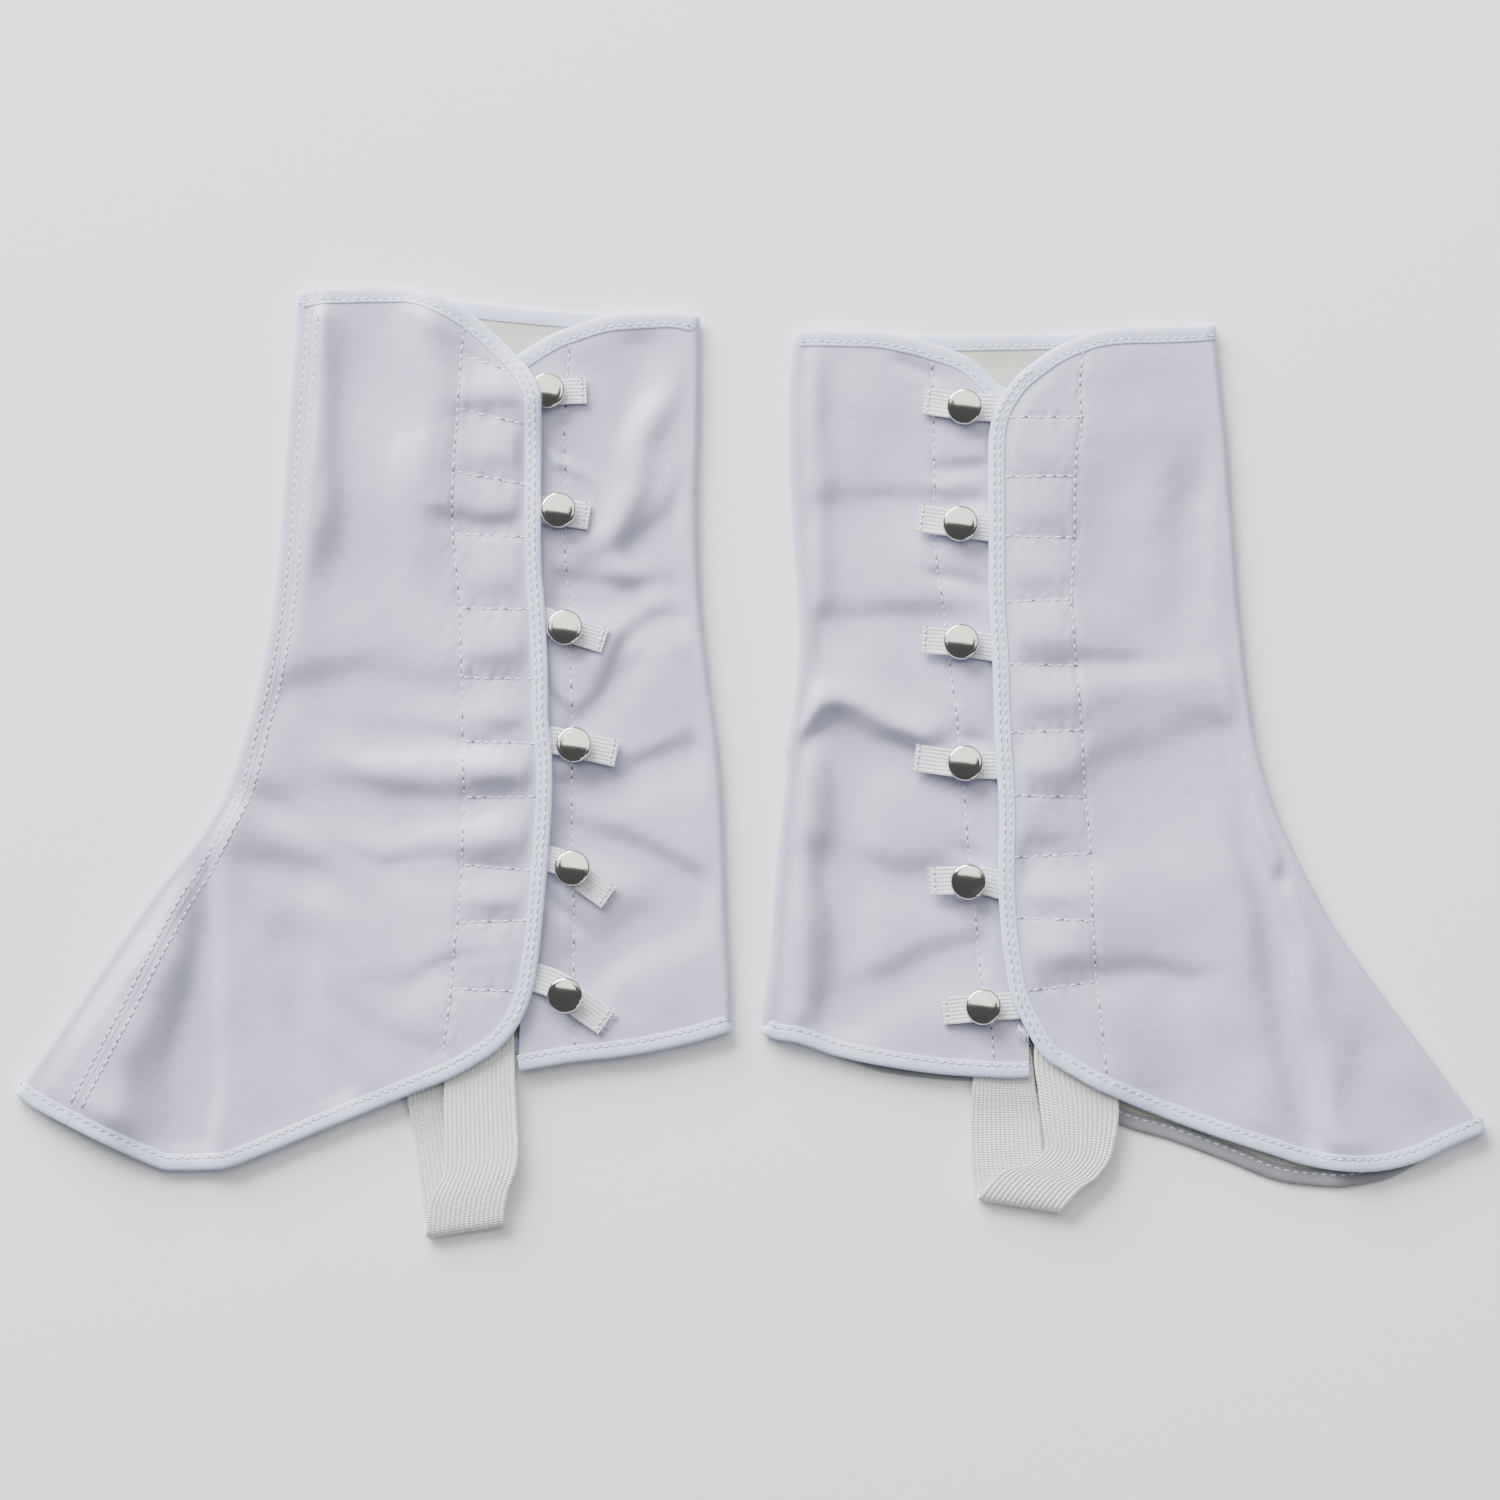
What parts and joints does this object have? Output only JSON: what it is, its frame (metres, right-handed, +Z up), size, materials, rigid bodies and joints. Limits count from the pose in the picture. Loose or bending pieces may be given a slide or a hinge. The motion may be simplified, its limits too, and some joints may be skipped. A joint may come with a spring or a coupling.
{
  "type": "pair of marching spats",
  "caption": "Pair of white vinyl spats laid flat, with bound edges, buttoned flaps on elastic tabs and an elastic strap under each foot.",
  "frame": {"origin": "middle of the pair on the surface that it lies on", "axes": "+X to the right across both spats, +Y up the legs towards their tops, +Z up from the surface"},
  "size_m": [0.5422, 0.353, 0.0139],
  "materials": {
    "vinyl": "smooth white vinyl-coated cloth with a soft sheen",
    "tape": "folded white binding tape, stitched on",
    "elastic": "off-white ribbed elastic",
    "nickel": "polished nickel"
  },
  "bodies": {
    "root": {"left_front_panel": "vinyl", "left_rear_panel": "vinyl", "left_inner_panel": "vinyl", "left_front_binding": "tape", "left_rear_top_binding": "tape", "left_rear_hem_binding": "tape", "left_inner_top_binding": "tape", "left_inner_hem_binding": "tape", "left_tab_1": "elastic", "left_tab_2": "elastic", "left_tab_3": "elastic", "left_tab_4": "elastic", "left_tab_5": "elastic", "left_tab_6": "elastic", "left_button_1": "nickel", "left_button_2": "nickel", "left_button_3": "nickel", "left_button_4": "nickel", "left_button_5": "nickel", "left_button_6": "nickel", "left_strap": "elastic", "right_front_panel": "vinyl", "right_rear_panel": "vinyl", "right_inner_panel": "vinyl", "right_front_binding": "tape", "right_rear_top_binding": "tape", "right_rear_hem_binding": "tape", "right_inner_top_binding": "tape", "right_inner_hem_binding": "tape", "right_tab_1": "elastic", "right_tab_2": "elastic", "right_tab_3": "elastic", "right_tab_4": "elastic", "right_tab_5": "elastic", "right_tab_6": "elastic", "right_button_1": "nickel", "right_button_2": "nickel", "right_button_3": "nickel", "right_button_4": "nickel", "right_button_5": "nickel", "right_button_6": "nickel", "right_strap": "elastic"}
  },
  "joints": []
}
